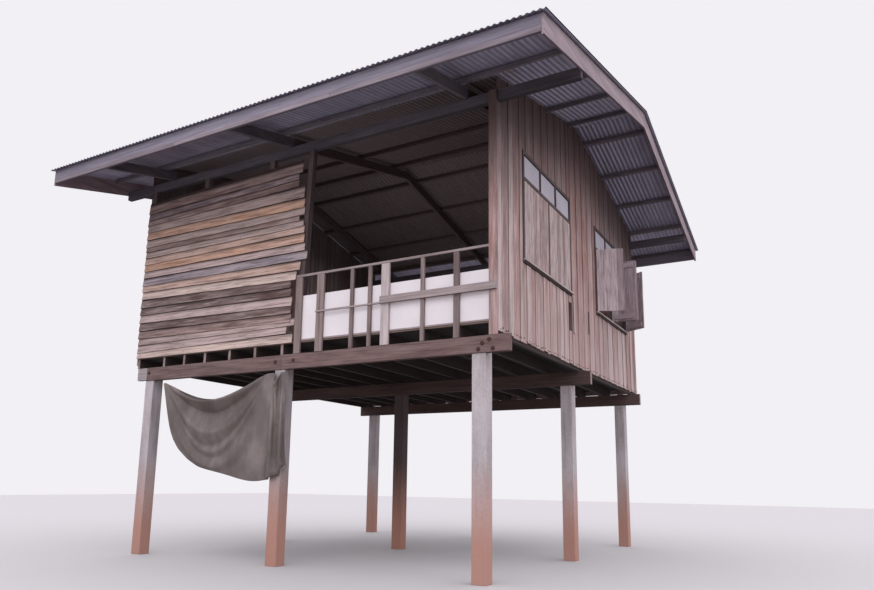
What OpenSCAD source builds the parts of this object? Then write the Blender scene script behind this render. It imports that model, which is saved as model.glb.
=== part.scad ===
// Timber stilt house on nine concrete posts, with a low gable roof of corrugated metal.
// Millimetres. Z is up and Z = 0 is the lowest foot. The front faces -Y, the right gable +X.
// The ridge runs along X. Every piece is one module and one named node.

/* [Posts] */
// spacing of the posts along the front
bay_x = 3000; // [2400:10:3600]
// spacing of the posts from front to back
bay_y = 3270; // [2800:10:3800]
// side of a square concrete post
post_w = 190; // [120:5:260]
// the middle post of each row stands this far left of the centre
mid_shift = 200; // [0:10:400]
// thickness left of the post tenon beside the girder
tenon_t = 120; // [60:5:180]

/* [Girders and floor] */
// underside of the girders above the ground
girder_z = 2760; // [2000:10:3200]
// depth of a girder
girder_h = 215; // [120:5:300]
// thickness of a girder
girder_t = 85; // [50:5:150]
// girder ends past the right corner posts
girder_over_r = 325; // [50:10:600]
// length of the bleached block on the front girder's left end
end_block_l = 235; // [60:10:400]
// thickness of the end block
end_block_t = 70; // [30:5:120]
// depth of a floor joist
joist_h = 160; // [80:5:220]
// width of a floor joist
joist_w = 50; // [35:5:90]
// number of floor joists
joist_n = 13; // [9:1:21]
// thickness of the floor boards
deck_t = 25; // [15:1:50]

/* [Walls] */
// outer face of the right wall from the right posts' centre line
wall_out_r = 260; // [110:10:600]
// outer face of the left wall from the left posts' centre line
wall_out_l = 370; // [110:10:700]
// outer face of the front wall from the front posts' centre line
wall_out_f = 115; // [95:5:200]
// outer face of the back wall from the back posts' centre line
wall_out_b = 360; // [150:10:600]
// thickness of the upright wall boards
wall_t = 25; // [15:1:60]
// the upright boards end this far above the girders
wall_foot = 45; // [5:5:140]
// side of the wall posts in the corners
corner_w = 95; // [60:5:150]
// width of the board that closes the right front corner
corner_board_w = 115; // [80:5:200]
// side of the studs behind the planks and beside the opening
stud_w = 90; // [45:5:120]
// the stud beside the opening leans this far to the right at its top
stud_lean = 110; // [0:5:200]
// the lapped planks end this far right of the middle post
plank_past = 260; // [-400:10:600]
// how many lapped planks
plank_n = 22; // [12:1:30]
// thickness of a lapped plank at its lower edge
plank_t = 32; // [20:1:60]
// top of the lapped planks above the floor
plank_top = 2720; // [2000:10:2800]
// depth of the plates that carry the rafters
plate_h = 150; // [60:5:200]
// thickness of the plates
plate_t = 80; // [50:5:120]

/* [Windows in the right wall] */
// near edge of the front window from the front wall's outer face
win1_in = 915; // [300:5:1400]
// far edge of the back window from the back wall's outer face
win2_in = 780; // [400:10:1100]
// width of a window opening
win_w = 1930; // [900:10:2100]
// sill of the windows above the floor
sill_h = 1030; // [600:10:1400]
// height of the opening below the transom
leaf_h = 1145; // [800:10:1500]
// height of the transom lights
light_h = 330; // [150:10:450]
// width of the frame timbers
frame_w = 55; // [30:5:90]
// depth of the frame timbers
frame_d = 70; // [40:5:120]
// the frames stand this far out from the wall
frame_proud = 15; // [0:1:40]
// thickness of the sill board under a window
sill_t = 30; // [15:5:50]
// the sill board stands this far out from the frame
sill_out = 30; // [0:5:80]
// width of the post between the two pairs of leaves
mullion_w = 50; // [30:5:90]
// thickness of a shutter leaf
leaf_t = 24; // [15:1:40]
// depth of the two ledges across the inner face of a leaf
ledge_h = 90; // [50:5:130]
// thickness of a ledge
ledge_t = 18; // [10:1:25]
// opening angle of the back window's near leaf
leaf_near_a = 70; // [0:1:170]
// opening angle of the back window's middle leaves
leaf_mid_a = 87; // [0:1:88]
// opening angle of the back window's far leaf
leaf_far_a = 60; // [0:1:170]

/* [Balustrade] */
// top rail above the floor
rail_h = 950; // [700:10:1200]
// depth of the top rail
rail_t = 35; // [20:1:60]
// middle rail above the floor
mid_rail_z = 385; // [200:10:700]
// depth of the middle rail
mid_rail_h = 100; // [40:5:140]
// height of the pale panels
panel_h = 675; // [300:10:900]
// thickness of the pale panels
panel_t = 10; // [6:1:25]
// width of the narrowest balusters
bal_w = 55; // [30:5:90]
// thickness of the balusters
bal_t = 35; // [20:1:60]

/* [Roof] */
// top of the sheets at the ridge above the floor
ridge_up = 4120; // [3800:10:4600]
// top of the sheets at the front eave above the floor
eave_f_up = 2965; // [2800:5:3200]
// top of the sheets at the back eave above the floor
eave_b_up = 3115; // [2900:5:3400]
// the front eave reaches this far out from the front wall
over_f = 1405; // [800:5:1800]
// the back eave reaches this far out from the back wall
over_b = 1070; // [600:10:1600]
// the roof reaches this far out from the right wall
over_r = 1200; // [600:10:1600]
// the roof reaches this far out from the left wall
over_l = 730; // [500:5:1400]
// the sheets reach this far past the fascia boards
sheet_out_e = 70; // [0:5:150]
// the sheets reach this far past the barge boards
sheet_out_v = 50; // [0:5:120]
// pitch of the corrugations
wave_pitch = 76; // [50:1:130]
// depth of the corrugations
wave_h = 18; // [10:1:40]
// thickness of the sheet metal
sheet_t = 2; // [1:0.5:4]
// side of a purlin
purlin_w = 60; // [40:5:90]
// the topmost purlins lie this far from the ridge
purlin_in = 450; // [200:10:700]
// purlins on the front slope
purlin_nf = 5; // [3:1:8]
// purlins on the back slope
purlin_nb = 5; // [3:1:8]
// depth of a rafter
rafter_h = 150; // [70:5:200]
// thickness of a rafter
rafter_t = 55; // [35:5:90]
// the outer rafters stand this far in from the outer posts' centre line
rafter_in = 200; // [0:10:600]
// width of the ridge cap on each slope
ridge_w = 220; // [120:10:320]
// thickness of the ridge cap
cap_t = 3; // [1:0.5:5]
// depth of the fascia boards
fascia_h = 225; // [120:5:340]
// depth of the barge boards
barge_h = 250; // [120:5:340]
// thickness of the fascia and barge boards
fascia_t = 28; // [18:1:50]

/* [Cloth screen] */
// width of the cloth under the front left bay
cloth_w = 2600; // [2000:10:2900]
// the cloth reaches this far past the middle post's right side
cloth_past = 105; // [0:5:300]
// top of the cloth below the underside of the girder
cloth_low = 15; // [0:5:200]
// drop of the cloth
cloth_h = 1600; // [800:10:2000]
// thickness of the cloth
cloth_t = 6; // [4:1:20]

/* [Hidden] */
joist_z = girder_z + girder_h;
floor_z = joist_z + joist_h + deck_t;
wall_r = bay_x + wall_out_r;
wall_l = bay_x + wall_out_l;
wall_f = bay_y + wall_out_f;
wall_b = bay_y + wall_out_b;
eave_f = wall_f + over_f;
eave_b = wall_b + over_b;
verge_r = wall_r + over_r;
verge_l = wall_l + over_l;
ridge_z = floor_z + ridge_up;
eave_f_z = floor_z + eave_f_up;
eave_b_z = floor_z + eave_b_up;
slope_f = atan((ridge_z - eave_f_z) / eave_f);
slope_b = atan((ridge_z - eave_b_z) / eave_b);
crest = wave_h + sheet_t;
under_purlin = crest + purlin_w;
under_rafter = under_purlin + rafter_h;
grid_x = -(verge_r - verge_l) / 2;
grid_y = (eave_f - eave_b) / 2;
half_post = post_w / 2;
xs = [-bay_x, -mid_shift, bay_x];
shiver = 0.3;

// The two slopes' lines at a depth under the top of the sheets meet here in Y.
function peak_y(depth) = depth * (1 / cos(slope_f) - 1 / cos(slope_b))
  / (tan(slope_f) + tan(slope_b));
// Height of a line parallel to the roof, the given depth under the top of the sheets.
function roof_z(y, depth) =
  y < peak_y(depth) ? ridge_z + y * tan(slope_f) - depth / cos(slope_f)
                    : ridge_z - y * tan(slope_b) - depth / cos(slope_b);
function peak(depth) = [peak_y(depth), roof_z(peak_y(depth), depth)];

module at_grid() translate([grid_x, grid_y, 0]) children();

// Draws a shape given in Y and Z, thick along X.
module along_x(x, length) translate([x, 0, 0]) rotate([90, 0, 90])
  linear_extrude(length) children();

// Draws a shape given in X and Z, thick along Y.
module along_y(y, length) translate([0, y + length, 0]) rotate([90, 0, 0])
  linear_extrude(length) children();

// A concrete post with its top cut back so the girder is bolted to a tenon.
module post(x, y) translate([x, y, 0]) difference() {
  translate([-half_post, -half_post, 0]) cube([post_w, post_w, joist_z]);
  translate([-half_post - 1, -half_post - 1, girder_z])
    cube([post_w + 2, post_w - tenon_t + 1, girder_h + 1]);
}

module posts_front() color("lightgray") at_grid() for (x = xs) post(x, -bay_y);
module posts_middle() color("lightgray") at_grid() for (x = xs) post(x, 0);
module posts_back() color("lightgray") at_grid() for (x = xs) post(x, bay_y);

// Front face of a girder stands proud of the posts.
function girder_y(y) = y - half_post + post_w - tenon_t - girder_t;

module girder(x0, x1, y) translate([x0, girder_y(y), girder_z])
  cube([x1 - x0, girder_t, girder_h]);

// The front girder is spliced just past the middle post's centre line. It begins just
// inside the left post's outer side.
splice_x = -mid_shift + 25;
girder_l = -bay_x - half_post + 25;
girder_r = bay_x + half_post + girder_over_r;

module girder_front_left() color("sienna") at_grid() girder(girder_l, splice_x, -bay_y);
module girder_front_right() color("sienna") at_grid()
  girder(splice_x + shiver, girder_r, -bay_y);
// The bleached block is a little less deep than the girder and set back from its face.
block_in = 12;
module girder_end_block() color("silver") at_grid()
  translate([girder_l - end_block_l - shiver, girder_y(-bay_y) + block_in,
    girder_z + block_in])
    cube([end_block_l, end_block_t, girder_h - block_in]);
module girder_middle() color("sienna") at_grid() girder(-wall_l + wall_t, girder_r, 0);
module girder_back() color("sienna") at_grid() girder(-wall_l + wall_t, girder_r, bay_y);

// Joists run from front to back and carry the floor boards.
joist_l = -wall_l + wall_t + shiver;
joist_r = wall_r - wall_t - joist_w - shiver;
joist_f = -wall_f + max(plank_t, bal_t) + shiver;
joist_b = wall_b - wall_t - shiver;
// They are laid by eye, so each lies a little to the left or right of an even spacing.
joist_slip = [0, 66, -10, -93, -107, -130, -145, -49, 7, -27, 40, 25, 0];
module floor_joists() color("peru") at_grid()
  for (i = [0:joist_n - 1])
    translate([joist_l + i * (joist_r - joist_l) / (joist_n - 1)
      + (joist_n == len(joist_slip) ? joist_slip[i] : 0), joist_f, joist_z])
      cube([joist_w, joist_b - joist_f, joist_h]);

module floor_deck() color("burlywood") at_grid()
  translate([joist_l, joist_f, floor_z - deck_t])
    cube([joist_r + joist_w - joist_l, joist_b - joist_f, deck_t]);

// Lapped planks: one saw tooth for each plank, with ragged right ends from the top down.
plank_end = -mid_shift + plank_past;
plank_h = (plank_top + deck_t) / plank_n;
ragged = [-5, -88, -85, 50, 68, 35, 30, 28, 40, 90, 80, 24, -20, -50, -80,
  -90, -75, -95, -100, -170, -40, -30, -60, -20, -70, -10, -50, -90, -30, -60];
module lapped_planks() color("tan") at_grid()
  for (i = [0:plank_n - 1])
    let (z = floor_z - deck_t + i * plank_h, face = -wall_f + plank_t,
         end = plank_end + ragged[plank_n - 1 - i])
      along_x(-wall_l, end + wall_l)
        polygon([[-wall_f, z], [face, z], [face, z + plank_h],
          [face - plank_t / 2, z + plank_h]]);

// Plates lie on the corner posts and studs and carry the rafters. Floor, studs and
// plate stand just behind the planks and balusters.
plate_f_y = joist_f;
plate_f_z = roof_z(plate_f_y + plate_t, under_rafter);
plate_b_y = wall_b - wall_t - plate_t - shiver;
plate_b_z = roof_z(plate_b_y, under_rafter);
inner_l = -wall_l + wall_t + shiver;
inner_r = wall_r - wall_t - shiver;
// Between the two pairs of barge boards.
barge_l = -verge_l + sheet_out_v;
barge_r = verge_r - sheet_out_v - fascia_t;
in_barge_l = barge_l + fascia_t + shiver;
in_barge = barge_r - shiver - in_barge_l;
// Between the two fascia boards.
fascia_f = -eave_f + sheet_out_e;
fascia_b = eave_b - sheet_out_e - fascia_t;
in_fascia_f = fascia_f + fascia_t + shiver;
in_fascia_b = fascia_b - shiver;

module corner_posts() color("saddlebrown") at_grid() {
  for (x = [inner_l, inner_r - corner_w]) {
    translate([x, plate_f_y, floor_z])
      cube([corner_w, corner_w, plate_f_z - plate_h - floor_z]);
    translate([x, plate_b_y + plate_t - corner_w, floor_z])
      cube([corner_w, corner_w, plate_b_z - plate_h - floor_z]);
  }
}
module corner_board() color("rosybrown") at_grid()
  translate([wall_r - corner_board_w, -wall_f, joist_z])
    cube([corner_board_w, plank_t, plate_f_z - joist_z]);
stud_top = plate_f_z - plate_h;
// Two hidden studs share the planks' length. The third stands just inside their ends.
stud_at = [0.41, 0.86];
module wall_studs() color("saddlebrown") at_grid() for (part = stud_at)
  translate([-wall_l + part * (wall_l - mid_shift), plate_f_y, floor_z])
    cube([stud_w, stud_w, stud_top - floor_z]);
stud_x = plank_end - stud_w / 3;
module opening_stud() color("saddlebrown") at_grid() along_y(plate_f_y, stud_w)
  polygon([[stud_x, floor_z], [stud_x + stud_w, floor_z],
    [stud_x + stud_w + stud_lean, stud_top], [stud_x + stud_lean, stud_top]]);
module plate_front() color("saddlebrown") at_grid()
  translate([in_barge_l, plate_f_y, plate_f_z - plate_h])
    cube([in_barge, plate_t, plate_h]);
module plate_back() color("saddlebrown") at_grid()
  translate([in_barge_l, plate_b_y, plate_b_z - plate_h])
    cube([in_barge, plate_t, plate_h]);

// Gable wall outline in Y and Z. Its top follows the underside of the purlins,
// and it is notched round the two plates.
wall_foot_z = joist_z + wall_foot;
gable_f = -wall_f + plank_t + shiver;
module gable_shape() difference() {
  polygon([[gable_f, wall_foot_z], [wall_b, wall_foot_z],
    [wall_b, roof_z(wall_b, under_purlin)], peak(under_purlin),
    [gable_f, roof_z(gable_f, under_purlin)]]);
  translate([gable_f - 1, plate_f_z - plate_h - shiver])
    square([plate_f_y + plate_t + shiver - gable_f + 1, plate_h + 2 * shiver]);
  translate([plate_b_y - shiver, plate_b_z - plate_h - shiver])
    square([plate_t + 2 * shiver, plate_h + 2 * shiver]);
}

win1_y = -wall_f + win1_in;
win2_y = wall_b - win2_in - win_w;
sill_z = floor_z + sill_h;
win_h = leaf_h + frame_w + light_h;
module window_holes(grow) for (y = [win1_y, win2_y])
  translate([y - grow, sill_z - grow]) square([win_w + 2 * grow, win_h + 2 * grow]);

module wall_right() color("rosybrown") at_grid()
  along_x(wall_r - wall_t, wall_t) difference() {
    gable_shape();
    window_holes(frame_w);
  }
module wall_left() color("rosybrown") at_grid()
  along_x(-wall_l, wall_t) gable_shape();
module wall_back() color("rosybrown") at_grid()
  translate([inner_l, wall_b - wall_t, wall_foot_z])
    cube([inner_r - inner_l, wall_t, roof_z(wall_b, under_rafter) - wall_foot_z]);

// A frame fills its hole in the wall, with a bar between shutters and lights, and carries
// a sill board that throws the rain off the wall.
bar_w = 30;
pane_t = 6;
light_w = (win_w - 2 * bar_w) / 3;
leaf_w = (win_w - mullion_w) / 4;
frame_len = win_w + 2 * frame_w - 2 * shiver;
module window_frame(y) color("peru") at_grid() {
  translate([wall_r, y - frame_w + shiver, sill_z - sill_t])
    cube([frame_proud + sill_out, frame_len, sill_t]);
  along_x(wall_r - frame_d + frame_proud, frame_d) difference() {
    translate([y - frame_w + shiver, sill_z - frame_w + shiver])
      square([frame_len, win_h + 2 * frame_w - 2 * shiver]);
    for (dy = [0, 2 * leaf_w + mullion_w]) translate([y + dy, sill_z])
      square([2 * leaf_w, leaf_h]);
    for (i = [0:2]) translate([y + i * (light_w + bar_w), sill_z + leaf_h + frame_w])
      square([light_w, light_h]);
  }
}
module window_frame_front() window_frame(win1_y);
module window_frame_back() window_frame(win2_y);

module transom_lights() color("lavender") at_grid()
  for (y = [win1_y, win2_y]) for (i = [0:2])
    translate([wall_r - 2 * pane_t, y + i * (light_w + bar_w) + shiver,
      sill_z + leaf_h + frame_w + shiver])
      cube([pane_t, light_w - 2 * shiver, light_h - 2 * shiver]);

// A closed leaf reaches from its hinge towards +Y. It opens by turning out of the wall.
// Two ledges across its inner face hold its boards together.
ledge_in = 40;
module leaf() {
  cube([leaf_t, leaf_w - 2 * shiver, leaf_h - 2 * shiver]);
  for (z = [ledge_in, leaf_h - ledge_in - ledge_h]) translate([-ledge_t, ledge_in, z])
    cube([ledge_t + 1, leaf_w - 2 * ledge_in, ledge_h]);
}
module open_leaf(y, side, angle) color("tan") at_grid()
  translate([wall_r + frame_proud + shiver, y, sill_z + shiver])
    mirror([0, side, 0]) rotate([0, 0, -angle]) leaf();
module shutters_front() color("tan") at_grid()
  for (i = [0:3]) translate([wall_r + frame_proud - leaf_t,
    win1_y + i * leaf_w + (i > 1 ? mullion_w : 0) + shiver, sill_z + shiver]) leaf();
// The outer leaves hang on the frame just outside the opening, the middle ones back to back.
mid_y = win2_y + win_w / 2;
hinge_out = 6;
module shutter_back_near() open_leaf(win2_y - hinge_out, 0, leaf_near_a);
module shutters_back_middle() {
  open_leaf(mid_y - leaf_t - shiver, 1, leaf_mid_a);
  open_leaf(mid_y + leaf_t + shiver, 0, leaf_mid_a);
}
module shutter_back_far() open_leaf(win2_y + win_w + hinge_out, 1, leaf_far_a);

// Balustrade between the stud and the right corner. Balusters stand on the girder,
// in front of the joists, with their left sides at these parts of its length. Some are
// boards, wider by these amounts.
bal_l = stud_x + 10;
bal_r = wall_r - corner_board_w - shiver;
bal_len = bal_r - bal_l;
bal_at = [0, 0.125, 0.315, 0.412, 0.482, 0.682, 0.84];
bal_wide = [60, 70, 0, 0, 75, 0, 25];
function bal_x(i) = bal_l + bal_at[i] * bal_len;
module balusters() color("silver") at_grid()
  for (i = [0:len(bal_at) - 1]) translate([bal_x(i), -wall_f, joist_z])
    cube([bal_w + bal_wide[i], bal_t, floor_z + rail_h - joist_z]);
module rail_top() color("silver") at_grid()
  translate([bal_l, -wall_f, floor_z + rail_h]) cube([bal_len, bal_t, rail_t]);
module rail_middle() color("silver") at_grid()
  translate([bal_x(4), -wall_f - bal_t - shiver, floor_z + mid_rail_z])
    cube([wall_r - bal_x(4), bal_t, mid_rail_h]);
// The low rail is a thin lath.
lath_t = 20;
lath_h = 25;
module rail_low() color("silver") at_grid()
  translate([bal_x(1), -wall_f - lath_t - shiver, floor_z + mid_rail_z])
    cube([bal_x(4) - bal_x(1) - shiver, lath_t, lath_h]);
panel_l = stud_x + stud_w + stud_lean * panel_h / (stud_top - floor_z) + shiver;
module balustrade_panels() color("white") at_grid()
  translate([panel_l, joist_f, floor_z])
    cube([inner_r - corner_w - shiver - panel_l, panel_t, panel_h]);

// A band parallel to the roof over the ridge, or on one slope only.
module band(y0, y1, top, bottom) polygon([
  [y0, roof_z(y0, top)], peak(top), [y1, roof_z(y1, top)],
  [y1, roof_z(y1, bottom)], peak(bottom), [y0, roof_z(y0, bottom)]]);
module strip(y0, y1, top, bottom) polygon([
  [y0, roof_z(y0, top)], [y1, roof_z(y1, top)],
  [y1, roof_z(y1, bottom)], [y0, roof_z(y0, bottom)]]);

// Rafters meet at the ridge and are notched over the plates.
module notch(y, z, width) translate([y, z - 2 * rafter_h]) square([width, 2 * rafter_h]);
module rafters() color("saddlebrown") at_grid()
  for (x = [-bay_x + rafter_in, -mid_shift, bay_x - rafter_in])
    along_x(x - rafter_t / 2, rafter_t) difference() {
      union() {
        strip(in_fascia_f, -shiver / 2, under_purlin, under_rafter);
        strip(shiver / 2, in_fascia_b, under_purlin, under_rafter);
      }
      notch(plate_f_y, plate_f_z, plate_t);
      notch(plate_b_y, plate_b_z, plate_t + wall_t + 1);
    }

// Purlins lie across the rafters and the gable walls, under the sheets. The lowest ones
// touch the fascia boards.
purlins_f = [for (i = [0:purlin_nf - 1]) -purlin_in
  + i * (in_fascia_f + purlin_in) / (purlin_nf - 1)];
purlins_b = [for (i = [0:purlin_nb - 1]) purlin_in - purlin_w
  + i * (in_fascia_b - purlin_in) / (purlin_nb - 1)];
module purlins() color("saddlebrown") at_grid() for (y = concat(purlins_f, purlins_b))
  along_x(in_barge_l, in_barge) strip(y, y + purlin_w, crest, under_purlin);

// Corrugated metal: a wave drawn across the slope and pushed down it.
wave_steps = 6;
function wave(x) = wave_h / 2 * (sin(360 * x / wave_pitch) - 1);
roof_len = verge_l + verge_r;
ridge_gap = 6;
wave_count = floor(roof_len / wave_pitch * wave_steps);
wave_x = [for (i = [0:wave_count]) i * roof_len / wave_count];
module wave_sheet(run) linear_extrude(run) polygon(concat(
  [for (x = wave_x) [x, wave(x)]],
  [for (i = [wave_count:-1:0]) [wave_x[i], wave(wave_x[i]) - sheet_t]]));
module roof_sheet_front() color("slategray") at_grid()
  translate([-verge_l, 0, ridge_z]) rotate([90 + slope_f, 0, 0])
    translate([0, 0, ridge_gap]) wave_sheet(eave_f / cos(slope_f) - ridge_gap);
module roof_sheet_back() color("slategray") at_grid()
  translate([-verge_l, 0, ridge_z]) rotate([90 - slope_b, 0, 0]) mirror([0, 0, 1])
    translate([0, 0, ridge_gap]) wave_sheet(eave_b / cos(slope_b) - ridge_gap);
module ridge_cap() color("slategray") at_grid()
  along_x(-verge_l, roof_len) band(-ridge_w, ridge_w, -shiver - cap_t, -shiver);

// Boards close the eaves and verges.
module fascia_front() color("thistle") at_grid()
  translate([in_barge_l, fascia_f, roof_z(fascia_f, crest) - fascia_h])
    cube([in_barge, fascia_t, fascia_h]);
module fascia_back() color("thistle") at_grid()
  translate([in_barge_l, fascia_b, roof_z(fascia_b + fascia_t, crest) - fascia_h])
    cube([in_barge, fascia_t, fascia_h]);
module barge_shape() {
  strip(fascia_f, -shiver / 2, crest, crest + barge_h);
  strip(shiver / 2, fascia_b + fascia_t, crest, crest + barge_h);
}
module barge_right() color("thistle") at_grid()
  along_x(barge_r, fascia_t) barge_shape();
module barge_left() color("thistle") at_grid()
  along_x(barge_l, fascia_t) barge_shape();

// The cloth hangs under the front girder, against the middle post.
module cloth_screen() color("gray") at_grid()
  translate([-mid_shift + half_post + cloth_past - cloth_w,
    -bay_y - half_post - cloth_t - shiver, girder_z - cloth_low - cloth_h])
    cube([cloth_w, cloth_t, cloth_h]);

posts_front();
posts_middle();
posts_back();
girder_front_left();
girder_front_right();
girder_end_block();
girder_middle();
girder_back();
floor_joists();
floor_deck();
lapped_planks();
corner_posts();
corner_board();
wall_studs();
opening_stud();
plate_front();
plate_back();
wall_right();
wall_left();
wall_back();
window_frame_front();
window_frame_back();
transom_lights();
shutters_front();
shutter_back_near();
shutters_back_middle();
shutter_back_far();
balusters();
rail_top();
rail_middle();
rail_low();
balustrade_panels();
rafters();
purlins();
roof_sheet_front();
roof_sheet_back();
ridge_cap();
fascia_front();
fascia_back();
barge_right();
barge_left();
cloth_screen();
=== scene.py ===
"""Dressed scene of a timber stilt house on concrete posts. Metres, front towards -Y."""
import math
import random

import bmesh
import bpy
from mathutils import Matrix, Vector, noise


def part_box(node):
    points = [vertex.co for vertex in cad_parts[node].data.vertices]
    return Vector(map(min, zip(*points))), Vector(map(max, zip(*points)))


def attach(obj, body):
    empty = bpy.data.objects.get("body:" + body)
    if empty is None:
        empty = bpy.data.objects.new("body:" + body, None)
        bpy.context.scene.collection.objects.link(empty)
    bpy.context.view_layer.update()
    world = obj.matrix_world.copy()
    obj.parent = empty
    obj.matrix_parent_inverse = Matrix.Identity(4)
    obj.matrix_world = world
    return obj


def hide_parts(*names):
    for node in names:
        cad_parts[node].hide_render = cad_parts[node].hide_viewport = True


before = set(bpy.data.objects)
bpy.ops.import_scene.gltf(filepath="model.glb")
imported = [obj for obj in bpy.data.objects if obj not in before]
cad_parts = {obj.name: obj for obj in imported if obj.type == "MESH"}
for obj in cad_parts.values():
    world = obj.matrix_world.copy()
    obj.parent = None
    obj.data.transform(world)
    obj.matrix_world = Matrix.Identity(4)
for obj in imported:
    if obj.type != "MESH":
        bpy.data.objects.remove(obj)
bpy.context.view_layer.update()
# Without a seed of its own, the warp of the girders and rails would differ in each run.
noise.seed_set(1)

# Sizes, in metres
SHIFT = Vector((-0.180, 0.045, 0.0))      # from the post grid's centre to the row's frame
RIDGE = (SHIFT.y, 7.280)                  # Y and Z of the sheets' ridge line
EAVE_F = (SHIFT.y - 4.790, 6.125)
EAVE_B = (SHIFT.y + 4.700, 6.275)
VERGE_L, VERGE_R = SHIFT.x - 4.100, SHIFT.x + 4.460
WALL_L, WALL_R = SHIFT.x - 3.370, SHIFT.x + 3.260
WALL_F, WALL_B = SHIFT.y - 3.385, SHIFT.y + 3.630
WALL_FOOT = 3.020
BOARD_THICK = 0.017                       # a wall board
BOARD_STEP = 0.008                        # every other wall board lies this far back
BOARD_LAP = 0.005                         # wall boards lap this far
# Windows: heights of a shutter leaf and a transom light, widths of a frame member and of the
# opening, and the front edges of both openings.
SILL_Z = 4.190
LEAF_H, LIGHT_H, FRAME_W = 1.145, 0.330, 0.055
WIN_W = 1.930
WIN_TOP = SILL_Z + LEAF_H + FRAME_W + LIGHT_H
WIN_Y = (SHIFT.y - 2.470, SHIFT.y + 0.920)
LEAF_W, LEAF_T, MULLION_W = 0.470, 0.024, 0.050
FRAME_FACE, FRAME_DEEP = WALL_R + 0.015, 0.070
WAVE = 0.076                              # pitch of the roof's corrugation
SHEET_DEPTH = 0.020                       # underside of the sheets below their top
PURLIN_DEPTH = 0.080                      # underside of the purlins below the sheets' top
PURLIN_W = 0.060
# Near sides of the purlins, front slope and then back slope.
PURLINS = [SHIFT.y - 0.450 - i * 1.0604 for i in range(5)]
PURLINS += [SHIFT.y + 0.390 + i * 1.0379 for i in range(5)]
ROOF_FALL = 0.228                         # mean fall of the two slopes for each metre out


def roof_z(y, depth=0.0):
    """Height of a line parallel to the roof, that depth under the top of the sheets."""
    end = EAVE_F if y < RIDGE[0] else EAVE_B
    slope = (RIDGE[1] - end[1]) / (RIDGE[0] - end[0])
    return RIDGE[1] + (y - RIDGE[0]) * slope - depth * math.hypot(1.0, slope)


# Node trees
def add(tree, kind, inputs=None, **settings):
    """Adds a node, sets its properties, and fills its inputs with values or other sockets."""
    made = tree.nodes.new(kind)
    for name, value in settings.items():
        setattr(made, name, value)
    for key, value in (inputs or {}).items():
        socket = made.inputs[key]
        if isinstance(value, bpy.types.NodeSocket):
            tree.links.new(value, socket)
        else:
            socket.default_value = value
    return made


def out(tree, kind, inputs=None, **settings):
    """Adds a node and gives its first output."""
    return add(tree, kind, inputs, **settings).outputs[0]


def linear(code):
    """An sRGB hex colour as linear RGBA."""
    parts = [int(code[i:i + 2], 16) / 255 for i in (0, 2, 4)]
    return [p / 12.92 if p <= 0.04045 else ((p + 0.055) / 1.055) ** 2.4 for p in parts] + [1.0]


def ramp(tree, factor, stops, mode="LINEAR"):
    """A colour ramp's output; its stops are (place, hex colour or grey value)."""
    made = add(tree, "ShaderNodeValToRGB", {0: factor})
    made.color_ramp.interpolation = mode
    bar = made.color_ramp.elements
    while len(bar) < len(stops):
        bar.new(1.0)
    for slot, (place, colour) in zip(bar, stops):
        slot.position = place
        slot.color = linear(colour) if isinstance(colour, str) else (colour,) * 3 + (1.0,)
    return made.outputs[0]


def mixed(tree, factor, a, b, blend="MIX"):
    """Two colours mixed; a and b are sockets or hex colours."""
    made = add(tree, "ShaderNodeMix", {0: factor}, data_type="RGBA", blend_type=blend)
    for slot, value in ((6, a), (7, b)):
        if isinstance(value, str):
            made.inputs[slot].default_value = linear(value)
        else:
            tree.links.new(value, made.inputs[slot])
    return made.outputs[2]


def new_material(name):
    made = bpy.data.materials.new(name)
    made.use_nodes = True
    tree = made.node_tree
    tree.nodes.clear()
    shader = add(tree, "ShaderNodeBsdfPrincipled")
    add(tree, "ShaderNodeOutputMaterial", {0: shader.outputs[0]})
    return made, tree, shader


def calc(tree, operation, *values):
    """A math node's output; the values are numbers or sockets."""
    return out(tree, "ShaderNodeMath", dict(enumerate(values)), operation=operation)


def vectors(tree, operation, first, second):
    """A vector math node's output. A scale takes its factor second."""
    slot = 3 if operation == "SCALE" else 1
    return out(tree, "ShaderNodeVectorMath", {0: first, slot: second}, operation=operation)


def component(tree, vector, axis):
    """X, Y or Z of a vector, as 0, 1 or 2."""
    return add(tree, "ShaderNodeSeparateXYZ", {0: vector}).outputs[axis]


def attribute(tree, name, output="Fac"):
    return add(tree, "ShaderNodeAttribute", attribute_name=name).outputs[output]


def object_place(tree):
    return add(tree, "ShaderNodeTexCoord").outputs["Object"]


def placed(tree, axis):
    """X, Y or Z of the object coordinates."""
    return component(tree, object_place(tree), axis)


def facing(tree, axis):
    """How far a face looks along X, Y or Z."""
    return component(tree, add(tree, "ShaderNodeNewGeometry").outputs["True Normal"], axis)


def place_on_piece(tree, scale):
    """Object coordinates times a scale, moved along by the piece's tone."""
    far = vectors(tree, "SCALE", (13.7, 7.3, 21.1), attribute(tree, "tone"))
    return vectors(tree, "MULTIPLY", vectors(tree, "ADD", object_place(tree), far), scale)


def cloud(tree, vector, detail, rough=0.6):
    """Noise whose size comes from the vector's scale."""
    return add(tree, "ShaderNodeTexNoise", {"Vector": vector, "Scale": 1.0, "Detail": detail,
               "Roughness": rough}).outputs["Fac"]


def along(axis, fine, coarse):
    """A scale that is fine across the grain and coarse along it."""
    return tuple(1 / coarse if name == axis else 1 / fine for name in "XYZ")


def painted(tree, colour, factor, stops, paint):
    """The colour with paint over it, as much as the ramp of the factor says."""
    return mixed(tree, ramp(tree, factor, stops), colour, paint)


def finish(tree, shader, colour, rough, height=None, strength=0.5, depth=0.0):
    """Gives a shader its colour, roughness and relief."""
    tree.links.new(colour, shader.inputs["Base Color"])
    shader.inputs["Roughness"].default_value = rough
    if height:
        bump = out(tree, "ShaderNodeBump", {"Strength": strength, "Distance": depth,
                   "Height": height})
        tree.links.new(bump, shader.inputs["Normal"])


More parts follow.
